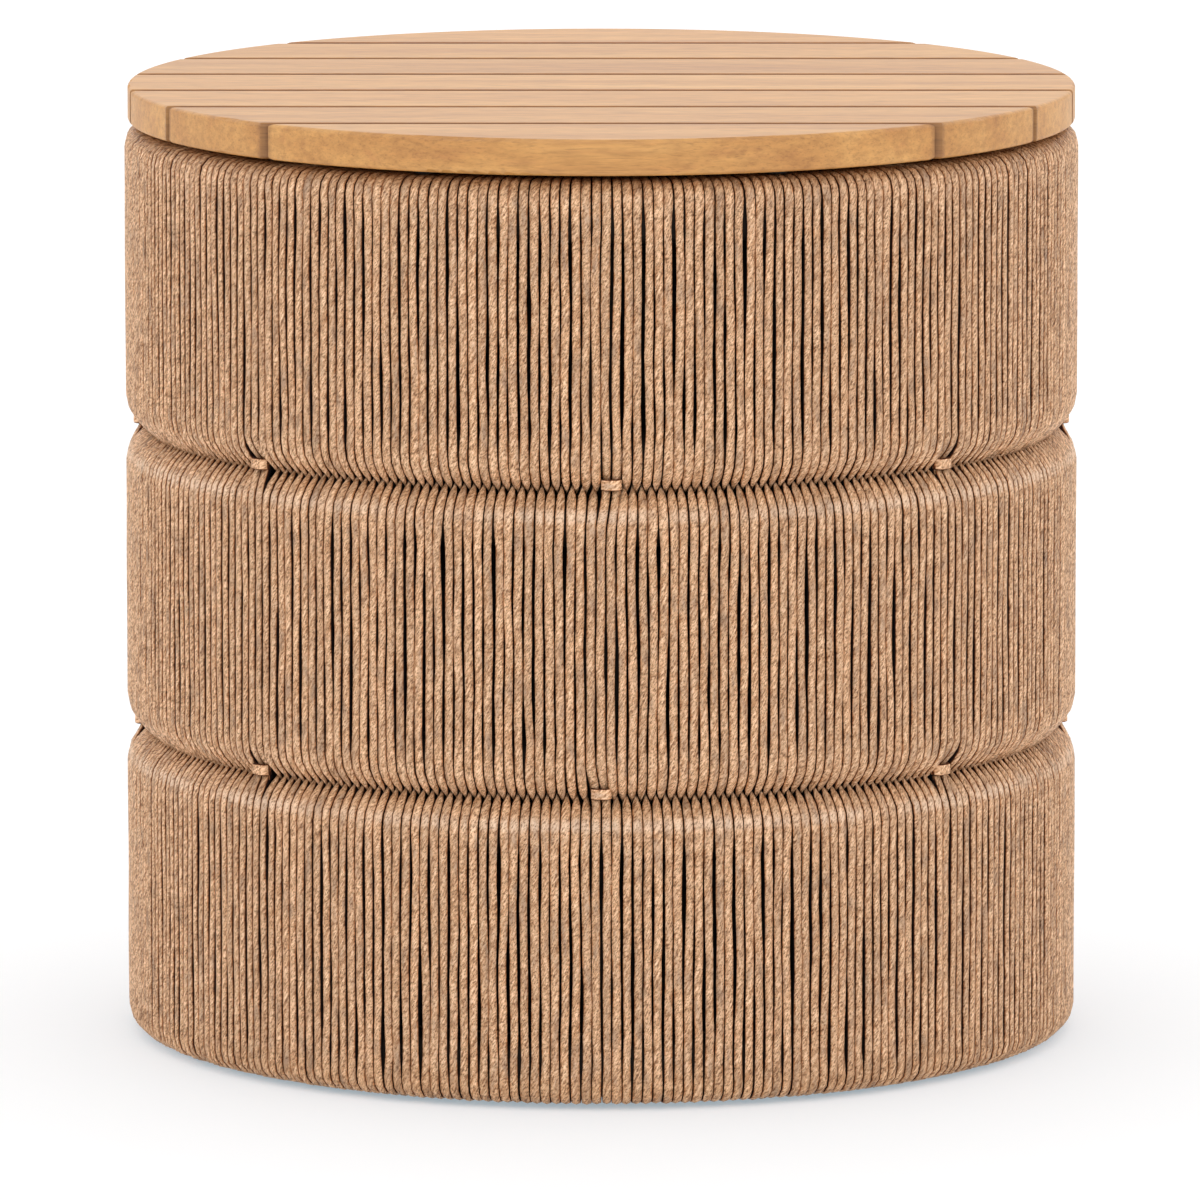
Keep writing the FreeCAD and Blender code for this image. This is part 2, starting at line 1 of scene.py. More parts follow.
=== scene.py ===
"""Round storage side table: a cord-wound drum in three tiers with a lift-off slatted lid."""

import bmesh
import bpy
import math
from mathutils import Matrix, Vector, noise


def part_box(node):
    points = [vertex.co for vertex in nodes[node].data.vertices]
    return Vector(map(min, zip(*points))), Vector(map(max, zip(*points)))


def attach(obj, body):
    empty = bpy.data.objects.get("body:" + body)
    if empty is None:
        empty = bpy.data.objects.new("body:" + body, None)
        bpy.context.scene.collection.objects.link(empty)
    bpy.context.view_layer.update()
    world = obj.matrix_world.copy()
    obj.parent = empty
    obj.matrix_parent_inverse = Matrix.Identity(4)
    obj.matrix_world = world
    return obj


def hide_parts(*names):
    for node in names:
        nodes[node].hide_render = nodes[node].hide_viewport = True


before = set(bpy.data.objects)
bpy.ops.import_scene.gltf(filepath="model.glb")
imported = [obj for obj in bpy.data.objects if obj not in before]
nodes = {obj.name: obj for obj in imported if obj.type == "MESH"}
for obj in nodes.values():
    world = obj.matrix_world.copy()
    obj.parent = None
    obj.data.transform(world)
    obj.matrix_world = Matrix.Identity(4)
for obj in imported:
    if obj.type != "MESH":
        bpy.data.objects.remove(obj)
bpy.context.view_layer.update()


# Hidden frame: tube rings, tier hoops, waist rods, flat uprights and the base cross.
# Aluminium, welded and powder coated dark brown; it shows only in gaps between cords and from below.
def srgb(red, green, blue):
    """Colour as seen, 0 to 255, turned into the linear values that shaders take."""
    parts = [channel / 255 for channel in (red, green, blue)]
    linear = [p / 12.92 if p < 0.04045 else ((p + 0.055) / 1.055) ** 2.4 for p in parts]
    return (*linear, 1.0)


def start_finish(name):
    """New material; returns it with its node tree and its main shader."""
    material = bpy.data.materials.new(name)
    material.use_nodes = True
    tree = material.node_tree
    return material, tree, tree.nodes["Principled BSDF"]


def add_node(tree, kind, choices, sockets):
    """Add a shader node; a socket takes a number, a colour or another node's output."""
    node = tree.nodes.new("ShaderNode" + kind)
    for name, choice in choices.items():
        setattr(node, name, choice)
    for key, source in sockets.items():
        if isinstance(source, bpy.types.NodeSocket):
            tree.links.new(source, node.inputs[key])
        else:
            node.inputs[key].default_value = source
    return node


def object_place(tree):
    """Coordinates in metres, fixed to the piece."""
    return add_node(tree, "TexCoord", {}, {}).outputs["Object"]


def stretched(tree, vector, scale):
    """Coordinates multiplied axis by axis, so that a pattern runs longer along one of them."""
    return add_node(tree, "Mapping", {}, {"Vector": vector, "Scale": scale}).outputs["Vector"]


def noise_value(tree, vector, scale, detail, roughness=0.5):
    """Noise from 0 to 1; a larger scale makes it finer."""
    sockets = {"Vector": vector, "Scale": scale, "Detail": detail, "Roughness": roughness}
    return add_node(tree, "TexNoise", {}, sockets).outputs["Fac"]


def ramp(tree, factor, stops):
    """Colour ramp; each stop is a place from 0 to 1 and a colour."""
    node = add_node(tree, "ValToRGB", {}, {"Fac": factor})
    elements = node.color_ramp.elements
    while len(elements) < len(stops):
        elements.new(0.5)
    for element, (place, colour) in zip(elements, stops):
        element.position = place
        element.color = colour
    return node.outputs["Color"]


def blend_colours(tree, kind, factor, first, second):
    """Mix or multiply two colours; each, and the factor, is a value or another node's output."""
    choices = {"data_type": "RGBA", "blend_type": kind}
    node = add_node(tree, "Mix", choices, {})
    for index, source in ((0, factor), (6, first), (7, second)):
        if isinstance(source, bpy.types.NodeSocket):
            tree.links.new(source, node.inputs[index])
        else:
            node.inputs[index].default_value = source
    return node.outputs[2]


def raise_surface(tree, shader, height, strength, distance):
    """Fine relief on top of the shape; distance is in metres for a height of 1."""
    sockets = {"Height": height, "Strength": strength, "Distance": distance}
    bump = add_node(tree, "Bump", {}, sockets)
    tree.links.new(bump.outputs["Normal"], shader.inputs["Normal"])


def powder_coat_finish():
    material, tree, shader = start_finish("brown_powder_coat")
    place = object_place(tree)
    mottle = noise_value(tree, place, scale=60, detail=3)
    tint = ramp(tree, mottle, [(0.3, srgb(34, 27, 22)), (0.7, srgb(46, 37, 30))])
    tree.links.new(tint, shader.inputs["Base Color"])
    texture = noise_value(tree, place, scale=1800, detail=2)
    raise_surface(tree, shader, texture, strength=0.25, distance=0.0002)
    shader.inputs["Roughness"].default_value = 0.6
    shader.inputs["Specular IOR Level"].default_value = 0.2
    return material


def dress(material, *names):
    """Give CAD pieces a finish."""
    for name in names:
        for slot in nodes[name].material_slots:
            slot.material = material


powder_coat = powder_coat_finish()
hoop_names = [f"frame_hoop_{number}" for number in range(1, 5)]
upright_names = [name for name in nodes if name.startswith("frame_upright_")]
dress(powder_coat, "frame_rim_ring", "frame_base_ring", *hoop_names, *upright_names)
dress(powder_coat, "frame_waist_ring_upper", "frame_waist_ring_lower")
dress(powder_coat, "base_bar_long", "base_bar_front", "base_bar_back")


# Foot glides: dark nylon pads under the arms of the base cross, each with a stem pushed up into its bar.
# Moulded with a fine grain and a slightly cloudy tone, like the floor panel and the lid bumpers.
def moulded_finish(name, dark, pale, roughness, grain):
    material, tree, shader = start_finish(name)
    place = object_place(tree)
    cloud = noise_value(tree, place, scale=45, detail=4)
    tint = ramp(tree, cloud, [(0.35, dark), (0.68, pale)])
    tree.links.new(tint, shader.inputs["Base Color"])
    texture = noise_value(tree, place, scale=grain, detail=2)
    raise_surface(tree, shader, texture, strength=0.3, distance=0.0003)
    shader.inputs["Roughness"].default_value = roughness
    return material


nylon = moulded_finish("nylon_glide", srgb(30, 28, 26), srgb(44, 41, 38), roughness=0.5, grain=900)
dress(nylon, "foot_glides")


# Floor of the well: a dark brown moulded board with drain holes, screwed down on the base cross.
# The screws here and under the lid are countersunk stainless steel.
def stainless_finish():
    material, tree, shader = start_finish("stainless_screw")
    turned = noise_value(tree, object_place(tree), scale=2500, detail=2)
    tint = ramp(tree, turned, [(0.3, srgb(150, 150, 148)), (0.7, srgb(190, 190, 187))])
    tree.links.new(tint, shader.inputs["Base Color"])
    shader.inputs["Metallic"].default_value = 1.0
    shader.inputs["Roughness"].default_value = 0.32
    return material


brown = moulded_finish("floor_board", srgb(84, 68, 54), srgb(104, 86, 69), roughness=0.62, grain=700)
dress(brown, "floor_panel")
dress(stainless_finish(), "floor_screws", "lid_screws")

# Wound cord: twisted resin cord about 5 mm thick, wrapped upright over the hoops strand by strand.
# Each tier dips into the waists, where its ends are squeezed between those of the next tier.
# Strands are a little wider on the bends than on the straight wall, where they wander more.
cord_count = 296
cord_width = 0.0050
cord_depth = 0.0045
wall_fullness = 0.83
bend_fullness = 0.93
drum_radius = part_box("wicker_middle_tier")[1].x
lower_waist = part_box("wicker_middle_tier")[0].z
upper_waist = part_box("wicker_middle_tier")[1].z
drum_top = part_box("wicker_upper_tier")[1].z
drum_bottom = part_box("wicker_lower_tier")[0].z
wall_thickness = 0.0389
hoop_bend = 0.0178
ring_bend = 0.0113
loop_tail = 0.008
waist_depth = 0.01073
waist_slope = math.radians(45)
slope_length = (waist_depth - hoop_bend * (1 - math.cos(waist_slope))) / math.sin(waist_slope)
hoop_rise = hoop_bend * math.sin(waist_slope) + slope_length * math.cos(waist_slope)
inner_radius = drum_radius - wall_thickness
cord_pitch = 2 * math.pi / cord_count
strand_spacing = drum_radius * cord_pitch
core_radius = drum_radius - cord_depth / 2


def bend_stations(centre_radius, centre_height, bend, start, stop, count):
    """Places on a bend, each with radius, height, outward angle and fullness of the cord."""
    stations = []
    for step in range(count):
        angle = math.radians(start + (stop - start) * step / (count - 1))
        core = bend - cord_depth / 2
        spot = (centre_radius + core * math.cos(angle), centre_height + core * math.sin(angle))
        stations.append((*spot, angle, bend_fullness))
    return stations


# In a waist a strand thins out to its hidden tip: metres past the end of the slope, and fullness there.
tip_taper = ((0.0040, 0.10), (0.0008, 0.42), (-0.0030, 0.80))


def waist_stations(level, side):
    """Cord from its hidden tip in a waist to the bend round the hoop; side is 1 above, -1 below."""
    centre_height = level + side * hoop_rise
    outward = -side * waist_slope
    core = hoop_bend - cord_depth / 2
    start_radius = drum_radius - hoop_bend + core * math.cos(outward)
    start_height = centre_height + core * math.sin(outward)
    stations = []
    for past, fullness in tip_taper:
        run = slope_length + past
        radius = start_radius - run * math.sin(waist_slope)
        height = start_height - side * run * math.cos(waist_slope)
        stations.append((radius, height, outward, fullness))
    start = math.degrees(outward)
    return stations + bend_stations(drum_radius - hoop_bend, centre_height, hoop_bend, start, 0, count=3)


# Two strands of each tier run straight into every tie, which draws them in and holds them flat.
# The tie lies above the middle of the waist, so it holds a longer piece of the upper strands.
tie_count = 8
tie_pull = 0.0078
tie_curve = 1.6
tip_overlap = 0.002
held_above = 0.4
held_below = 0.1
tied_lean = 0.25
tied_fullness = 0.82
upper_tie_shifts = (1, 1, 0, -1, 0, 1, 0, -1)
lower_tie_shifts = (0, 1, 0, 0, -1, 0, 1, -1)


def tied_stations(level, side):
    """Cord that bridges a waist straight to a tie, with as many places as the plain one."""
    count = len(waist_stations(level, side))
    shoulder = level + side * hoop_rise
    tip = level - side * tip_overlap
    held = held_above if side > 0 else held_below
    stations = []
    for step in range(count):
        share = step / (count - 1)
        height = tip + (shoulder - tip) * share
        freed = max(0.0, share - held) / (1 - held)
        depth = tie_pull * (1 - freed) ** tie_curve
        outward = -side * tied_lean * (1 - share)
        fullness = tied_fullness + (bend_fullness - tied_fullness) * share
        stations.append((core_radius - depth, height, outward, fullness))
    return stations


def tie_reach(strand, phase, shifts):
    """How many strands off the nearest tied pair is, 0 within it, and how far in strands it leans."""
    per_tie = cord_count // tie_count
    tie = round(strand / per_tie)
    offset = strand - tie * per_tie - shifts[tie % tie_count]
    # A strand of the middle tier stands right behind a tie, so its pair leans half a strand to centre.
    if phase:
        first, way = 0, 0
    elif tie % 2 == 0:
        first, way = -1, 0.5
    else:
        first, way = 0, -0.5
    return max(first - offset, offset - first - 1, 0), way


def wall_stations(low, high, count):
    """Evenly spaced places on the straight wall between two bends."""
    steps = [low + (high - low) * (step + 1) / (count + 1) for step in range(count)]
    return [(core_radius, height, 0.0, wall_fullness) for height in steps]


def loop_stations(crest, side):
    """Cord over the rim (side 1) or under the base (-1), from the outer wall to its end inside."""
    bend_height = crest - side * ring_bend
    outer = bend_stations(drum_radius - ring_bend, bend_height, ring_bend, 0, side * 90, count=4)
    inner = bend_stations(inner_radius + ring_bend, bend_height, ring_bend, side * 90, side * 180, count=3)
    radius, height, outward, fullness = inner[-1]
    return outer + inner + [(radius, height - side * loop_tail, outward, fullness)]


# Section of a strand, as shares of half its width and half its depth: rounded in front, flat behind.
strand_section = ((-1.0, 0.62), (0.0, 1.0), (1.0, 0.62), (0.62, -1.0), (-0.62, -1.0))


def one_strand(stations):
    """One closed strand at angle zero: a five-sided section pushed along its places."""
    bm = bmesh.new()
    across_layer = bm.verts.layers.float.new("across")
    out_layer = bm.verts.layers.float.new("out")
    place_layer = bm.verts.layers.int.new("place")
    bmesh.ops.create_circle(bm, cap_ends=True, segments=len(strand_section), radius=1)
    for vert, (across, out) in zip(bm.verts, strand_section):
        vert[across_layer] = across
        vert[out_layer] = out
    cap = bm.faces[:]
    for index in range(1, len(stations)):
        pushed = bmesh.ops.extrude_face_region(bm, geom=cap)["geom"]
        for vert in pushed:
            if isinstance(vert, bmesh.types.BMVert):
                vert[place_layer] = index
        # The first end closes the strand; a later one would stay inside it as a wall.
        if index > 1:
            bmesh.ops.delete(bm, geom=cap, context="FACES_ONLY")
        cap = [face for face in pushed if isinstance(face, bmesh.types.BMFace)]
    for vert in bm.verts:
        radius, height, outward, fullness = stations[vert[place_layer]]
        half = cord_depth / 2 * vert[out_layer]
        reach = radius + half * math.cos(outward)
        rise = height + half * math.sin(outward)
        vert.co = (reach, vert[across_layer] * cord_width / 2 * fullness, rise)
    bmesh.ops.recalc_face_normals(bm, faces=bm.faces[:])
    return bm


def repeat_round(bm, count):
    """Copy what is there round the upright axis until it stands count times in a full turn."""
    geometry = bm.verts[:] + bm.edges[:] + bm.faces[:]
    turn = 2 * math.pi * (count - 1) / count
    bmesh.ops.spin(
        bm, geom=geometry, axis=(0, 0, 1), cent=(0, 0, 0), angle=turn, steps=count - 1, use_duplicate=True
    )


def keep_mesh(name, bm):
    """Turn a finished bmesh into an object of the scene."""
    mesh = bpy.data.meshes.new(name)
    bm.to_mesh(mesh)
    bm.free()
    piece = bpy.data.objects.new(name, mesh)
    bpy.context.scene.collection.objects.link(piece)
    return piece


# How far hand-wound strands stray, in metres or as shares, and how soon that changes along and across.
wide_wander = 0.0012
fine_wander = 0.0007
swell_share = 0.17
lift_range = 0.0004
lift_sink = 0.0003
bend_freedom = 0.35
change_per_strand = 0.73
change_per_metre = 13


def stray(strand, run, seed, fullness):
    """How far a strand wanders sideways, swells and lifts after a run; each reads the noise elsewhere."""
    spot = Vector((strand * change_per_strand + seed, run * change_per_metre, seed * 1.7))
    freedom = 1.0 if fullness == wall_fullness else bend_freedom
    wander = freedom * (noise.noise(spot) * wide_wander + noise.noise(spot * 3.1) * fine_wander)
    swell = 1 + swell_share * noise.noise(spot * 1.6 + Vector((31, 0, 0)))
    lift = noise.noise(spot * 1.3 + Vector((0, 57, 0))) * lift_range - lift_sink
    return wander, swell, lift


# Share of a tied pair's lean that the next strands follow, and half a strand's width in its UV map.
lean_follow = (1.0, 0.5, 0.28, 0.12)
uv_half_width = 0.42


def wind(name, plain, tied, phase, seed):
    """Repeat a strand round the drum and let every strand wander, swell and lean by itself."""
    bm = one_strand(plain)
    across_layer = bm.verts.layers.float["across"]
    out_layer = bm.verts.layers.float["out"]
    place_layer = bm.verts.layers.int["place"]
    repeat_round(bm, cord_count)
    along = [0.0]
    for before, after in zip(plain, plain[1:]):
        along.append(along[-1] + math.dist(before[:2], after[:2]))
    strand_of = {}
    for vert in bm.verts:
        strand = round(math.atan2(vert.co.y, vert.co.x) / cord_pitch) % cord_count
        strand_of[vert] = strand
        place = vert[place_layer]
        is_high = plain[place][1] > (lower_waist + upper_waist) / 2
        beside, way = tie_reach(strand, phase, upper_tie_shifts if is_high else lower_tie_shifts)
        is_tied = tied is not None and beside == 0
        radius, height, outward, fullness = tied[place] if is_tied else plain[place]
        wander, swell, lift = stray(strand, along[place], seed, fullness)
        nearest_waist = min(abs(height - lower_waist), abs(height - upper_waist))
        near = max(0.0, 1 - nearest_waist / hoop_rise)
        lean = way * lean_follow[beside] * strand_spacing if beside < len(lean_follow) else 0.0
        wander = wander * (1 - near) + lean * near
        half = cord_depth / 2 * vert[out_layer]
        reach = radius + (lift + half) * math.cos(outward)
        rise = height + (lift + half) * math.sin(outward)
        sideways = wander + vert[across_layer] * cord_width / 2 * fullness * swell
        angle = (strand + phase) * cord_pitch + sideways / radius - math.pi / 2
        vert.co = (reach * math.cos(angle), reach * math.sin(angle), rise)
    weave = bm.loops.layers.uv.new("cord")
    for face in bm.faces:
        face.smooth = True
        for loop in face.loops:
            vert = loop.vert
            across = strand_of[vert] + 0.5 + uv_half_width * vert[across_layer]
            loop[weave].uv = (across, along[vert[place_layer]] / strand_spacing)
    return keep_mesh(name, bm)


def blend_numbers(tree, operation, first, second):
    """One step of arithmetic; each number is a value or another node's output."""
    return add_node(tree, "Math", {"operation": operation}, {0: first, 1: second}).outputs[0]


def stretched_noise(tree, vector, stretch, detail, roughness=0.5):
    """Noise whose scale is set axis by axis."""
    return noise_value(tree, stretched(tree, vector, stretch), 1.0, detail, roughness)


def chance_for(tree, number):
    """A chance value from 0 to 1 that is the same wherever the number is the same."""
    return add_node(tree, "TexWhiteNoise", {"noise_dimensions": "1D"}, {"W": number}).outputs["Value"]


def fibre_colours(tree, straight, fibre, grain):
    """Fibres from deep to pale, greyed in patches where the cord has weathered."""
    pale, mid, deep = srgb(230, 188, 148), srgb(212, 166, 125), srgb(171, 123, 83)
    colour = ramp(tree, fibre, [(0.36, deep), (0.50, mid), (0.64, pale)])
    patch = stretched_noise(tree, straight, (1.1, 0.36, 1.0), detail=4, roughness=0.62)
    patch = blend_numbers(tree, "ADD", patch, blend_numbers(tree, "MULTIPLY", grain, 0.4))
    worn = ramp(tree, patch, [(0.72, (0, 0, 0, 1)), (0.92, (0.7, 0.7, 0.7, 1))])
    return blend_colours(tree, "MIX", worn, colour, srgb(142, 114, 92))


def painted_light_and_shade(tree, colour, flecks_and_glints, sheen_strength):
    """Painted light and shade by height: a pale painted sheen on the shoulders under a waist, painted
    shade just above it, painted light on the bends over each waist, and painted shade at the floor and
    under the lid.
    """
    place = object_place(tree)
    level = add_node(tree, "SeparateXYZ", {}, {"Vector": place}).outputs["Z"]
    tier_height = lower_waist - drum_bottom
    above = blend_numbers(tree, "SUBTRACT", level, drum_bottom)
    above = blend_numbers(tree, "DIVIDE", blend_numbers(tree, "MODULO", above, tier_height), tier_height)
    no_sheen, sheen_level, even = (0, 0, 0, 1), (sheen_strength, sheen_strength, sheen_strength, 1), (1, 1, 1, 1)
    # Painted sheen: a pale band on the shoulders under each waist, made patchy by the flecks and by noise.
    painted_sheen = ramp(tree, above, [(0.893, no_sheen), (0.912, sheen_level), (0.926, sheen_level), (0.948, no_sheen)])
    painted_sheen = blend_colours(tree, "MULTIPLY", 1.0, painted_sheen, flecks_and_glints)
    sheen_patches = ramp(tree, noise_value(tree, place, scale=26, detail=2), [(0.28, no_sheen), (0.54, even)])
    painted_sheen = blend_colours(tree, "MULTIPLY", 1.0, painted_sheen, sheen_patches)
    below_waist = blend_numbers(tree, "LESS_THAN", level, upper_waist)
    painted_sheen = blend_colours(tree, "MIX", below_waist, no_sheen, painted_sheen)
    colour = blend_colours(tree, "MIX", painted_sheen, colour, srgb(240, 212, 186))
    # Painted light on the bends just above each waist and on the base, and painted shade on the slope just
    # under each waist.
    painted_bend_light, painted_waist_shade = (1.09, 1.09, 1.09, 1), (0.93, 0.90, 0.85, 1)
    waist_light_and_shade = ramp(tree, above, [(0.03, painted_bend_light), (0.10, even), (0.94, even), (0.97, painted_waist_shade)])
    colour = blend_colours(tree, "MULTIPLY", 1.0, colour, waist_light_and_shade)
    # Painted shade on the bottom bend near the floor, and painted shadow of the lid on the top of the rim.
    rise = blend_numbers(tree, "DIVIDE", level, drum_top)
    painted_floor_shade, painted_lid_shadow = (0.77, 0.71, 0.62, 1), (0.75, 0.69, 0.62, 1)
    floor_and_lid_shade = ramp(tree, rise, [(0.0, painted_floor_shade), (0.05, even), (0.984, even), (0.997, painted_lid_shadow)])
    return blend_colours(tree, "MULTIPLY", 1.0, colour, floor_and_lid_shade)


# The twist's slant across the strand, and how far apart in the noise any two strands can lie.
twist_slant = -0.5
strand_shift = 60.0


def cord_finish(name, shade, sheen_strength):
    """Twisted cord with slanting fibres and painted shade on its sides; its tone and the painted sheen on
    its shoulders are set for each use.
    """
    material, tree, shader = start_finish(name)
    weave = add_node(tree, "UVMap", {"uv_map": "cord"}, {}).outputs["UV"]
    split = add_node(tree, "SeparateXYZ", {}, {"Vector": weave})
    across, along = split.outputs["X"], split.outputs["Y"]
    chance = chance_for(tree, blend_numbers(tree, "FLOOR", across, 0.0))
    depth = blend_numbers(tree, "MULTIPLY", chance, strand_shift)
    slant = blend_numbers(tree, "ADD", across, blend_numbers(tree, "MULTIPLY", along, twist_slant))
    twist = add_node(tree, "CombineXYZ", {}, {"X": slant, "Y": along, "Z": depth}).outputs["Vector"]
    straight = add_node(tree, "CombineXYZ", {}, {"X": across, "Y": along, "Z": depth}).outputs["Vector"]
    fibre = stretched_noise(tree, twist, (5.0, 1.0, 1.0), detail=3, roughness=0.6)
    grain = stretched_noise(tree, twist, (6.0, 3.8, 1.0), detail=2, roughness=0.6)
    colour = fibre_colours(tree, straight, fibre, grain)
    # Dark specks are the cord's own; the pale bluish flecks are painted glints.
    speck, plain, pale_glint = (0.40, 0.34, 0.29, 1), (0.95, 0.95, 0.95, 1), (1.34, 1.42, 1.58, 1)
    flecks_and_glints = ramp(tree, grain, [(0.35, speck), (0.47, plain), (0.64, pale_glint)])
    colour = blend_colours(tree, "MULTIPLY", 1.0, colour, flecks_and_glints)
    low, high = 0.91 * shade, 1.05 * shade
    tone = ramp(tree, chance, [(0.0, (low, low, low, 1)), (1.0, (high, high, high, 1))])
    colour = blend_colours(tree, "MULTIPLY", 1.0, colour, tone)
    colour = painted_light_and_shade(tree, colour, flecks_and_glints, sheen_strength)
    out = add_node(tree, "Attribute", {"attribute_name": "out"}, {}).outputs["Fac"]
    wave = stretched_noise(tree, straight, (3.0, 0.9, 1.0), detail=2)
    edge = blend_numbers(tree, "ADD", out, blend_numbers(tree, "MULTIPLY", wave, 0.4))
    # Painted shade on the sides and backs of each strand, deepest behind it, so the gaps and the cavity
    # behind them read dark; a warm painted shade borders each front.
    gap_shade, shaded = (0.016, 0.002, 0.0, 1), (0.22, 0.10, 0.03, 1)
    warm_edge_shade, front = (0.74, 0.52, 0.34, 1), (1, 1, 1, 1)
    side_shade = ramp(tree, edge, [(0.34, gap_shade), (0.70, shaded), (0.80, warm_edge_shade), (0.90, front)])
    colour = blend_colours(tree, "MULTIPLY", 1.0, colour, side_shade)
    tree.links.new(colour, shader.inputs["Base Color"])
    dull, satin = (1, 1, 1, 1), (0.44, 0.44, 0.44, 1)
    tree.links.new(ramp(tree, edge, [(0.62, dull), (0.88, satin)]), shader.inputs["Roughness"])
    shader.inputs["Specular IOR Level"].default_value = 0.4
    height = blend_numbers(tree, "ADD", grain, blend_numbers(tree, "MULTIPLY", fibre, 1.5))
    raise_surface(tree, shader, height, strength=0.9, distance=0.0006)
    return material


def finish_cords(piece, node, material):
    """Show a piece in place of its CAD node, on the base."""
    piece.data.materials.append(material)
    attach(piece, "base")
    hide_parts(node)


twisted_cord = cord_finish("twisted_cord", shade=1.0, sheen_strength=0.42)
wall_places = 9
rim_loop = loop_stations(drum_top, 1)
base_loop = loop_stations(drum_bottom, -1)[::-1]
upper_wall = wall_stations(upper_waist + hoop_rise, drum_top - ring_bend, wall_places)
middle_wall = wall_stations(lower_waist + hoop_rise, upper_waist - hoop_rise, wall_places)
lower_wall = wall_stations(drum_bottom + ring_bend, lower_waist - hoop_rise, wall_places)

plain = base_loop + lower_wall + waist_stations(lower_waist, -1)[::-1]
tied = base_loop + lower_wall + tied_stations(lower_waist, -1)[::-1]
lower_cords = wind("lower_tier_cords", plain, tied, phase=-0.5, seed=41.9)
finish_cords(lower_cords, "wicker_lower_tier", twisted_cord)

plain = waist_stations(lower_waist, 1) + middle_wall + waist_stations(upper_waist, -1)[::-1]
tied = tied_stations(lower_waist, 1) + middle_wall + tied_stations(upper_waist, -1)[::-1]
middle_cords = wind("middle_tier_cords", plain, tied, phase=0.0, seed=17.3)
finish_cords(middle_cords, "wicker_middle_tier", twisted_cord)

plain = waist_stations(upper_waist, 1) + upper_wall + rim_loop
tied = tied_stations(upper_waist, 1) + upper_wall + rim_loop
upper_cords = wind("upper_tier_cords", plain, tied, phase=-0.5, seed=3.1)
finish_cords(upper_cords, "wicker_upper_tier", twisted_cord)

# Lining: dark cord brought down inside the wall, from the rim to the floor panel.
# It is seen when the lid is off; the backs of its strands face the outer wall and carry painted shade,
# which keeps what shows between the outer cords dark.
lining_fullness = 0.97
lining_clearance = 0.0004
lining_steps = 5
lining_top = drum_top - wall_thickness / 2
lining_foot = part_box("wicker_lining")[0].z
lining_core = inner_radius + cord_depth / 2 + lining_clearance
lining_rise = lining_top - lining_foot
lining_heights = [lining_foot + lining_rise * step / lining_steps for step in range(lining_steps + 1)]
lining_path = [(lining_core, height, math.pi, lining_fullness) for height in lining_heights]
lining_cords = wind("lining_cords", lining_path, None, phase=0.25, seed=71.2)
dark_cord = cord_finish("dark_cord", shade=0.30, sheen_strength=0.0)
finish_cords(lining_cords, "wicker_lining", dark_cord)

# Waist ties: a short length of cord drawn flat over two strands and tucked in behind them.
# Eight at each waist, each at an upright of the frame or one strand beside it.
tie_thickness = 0.0024
tie_width = 0.0106
tie_height = 0.0060
tie_rise = 0.0032
tie_rounding = 0.0008
tie_cuts = 7
tie_tuck = 0.0032
tuck_sharpness = 5
tie_sink = 0.0054
tie_seat = drum_radius - tie_sink
# The top and bottom rows of each band carry a low out value, so the cord finish paints a thin shadow line
# along them.
shadow_line_from = tie_height * 0.45
shadow_line_out = 0.3
first_tie_uv = 400.5
tie_uv_height = 0.8


def lengthwise_edges(bm):
    """Edges that run from end to end of a tie."""
    return [edge for edge in bm.edges if abs(edge.verts[0].co.y - edge.verts[1].co.y) > tie_width / 2]


def tie_bands(name, level, shifts):
    """Eight bands round one waist, each a bevelled strip whose ends bend inwards."""
    bm = bmesh.new()
    bmesh.ops.create_cube(bm, size=1)
    bmesh.ops.scale(bm, vec=(tie_thickness, tie_width, tie_height), verts=bm.verts[:])
    edges = lengthwise_edges(bm)
    bmesh.ops.bevel(
        bm, geom=edges, offset=tie_rounding, affect="EDGES", segments=2, profile=0.5, material=-1
    )
    bmesh.ops.subdivide_edges(bm, edges=lengthwise_edges(bm), cuts=tie_cuts)
    out_layer = bm.verts.layers.float.new("out")
    for vert in bm.verts:
        across = vert.co.y / (tie_width / 2)
        vert[out_layer] = shadow_line_out if abs(vert.co.z) > shadow_line_from else 1.0
        vert.co.x += tie_seat - tie_tuck * abs(across) ** tuck_sharpness
        vert.co.z += level + tie_rise
    repeat_round(bm, tie_count)
    bmesh.ops.recalc_face_normals(bm, faces=bm.faces[:])
    step = 2 * math.pi / tie_count
    weave = bm.loops.layers.uv.new("cord")
    for face in bm.faces:
        face.smooth = True
        for loop in face.loops:
            spot = loop.vert.co
            angle = math.atan2(spot.y, spot.x)
            nearest = round(angle / step)
            across = (angle - nearest * step) * drum_radius / strand_spacing
            up = (spot.z - level - tie_rise) / tie_height
            loop[weave].uv = (first_tie_uv + nearest + tie_uv_height * up, across)
    for vert in bm.verts:
        tie = round((math.atan2(vert.co.y, vert.co.x) + math.pi / 2) / step) % tie_count
        vert.co.rotate(Matrix.Rotation(shifts[tie] * cord_pitch, 3, "Z"))
    return keep_mesh(name, bm)


pale_cord = cord_finish("pale_cord", shade=1.12, sheen_strength=0.0)
lower_ties = tie_bands("lower_tie_bands", lower_waist, lower_tie_shifts)
finish_cords(lower_ties, "waist_ties_lower", pale_cord)
upper_ties = tie_bands("upper_tie_bands", upper_waist, upper_tie_shifts)
finish_cords(upper_ties, "waist_ties_upper", pale_cord)

# Lid slats: light oiled hardwood, planed, cut to one circle and rounded on top and bottom edges.
# Straight grain runs along each slat, and neighbouring slats differ a little in tone.
lid_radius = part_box("lid_slat_4")[1].x
slat_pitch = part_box("lid_slat_4")[0].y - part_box("lid_slat_3")[0].y
slat_count = 7
groove_fade = 0.008
row_margin = 0.001
grain_shift = 9.0


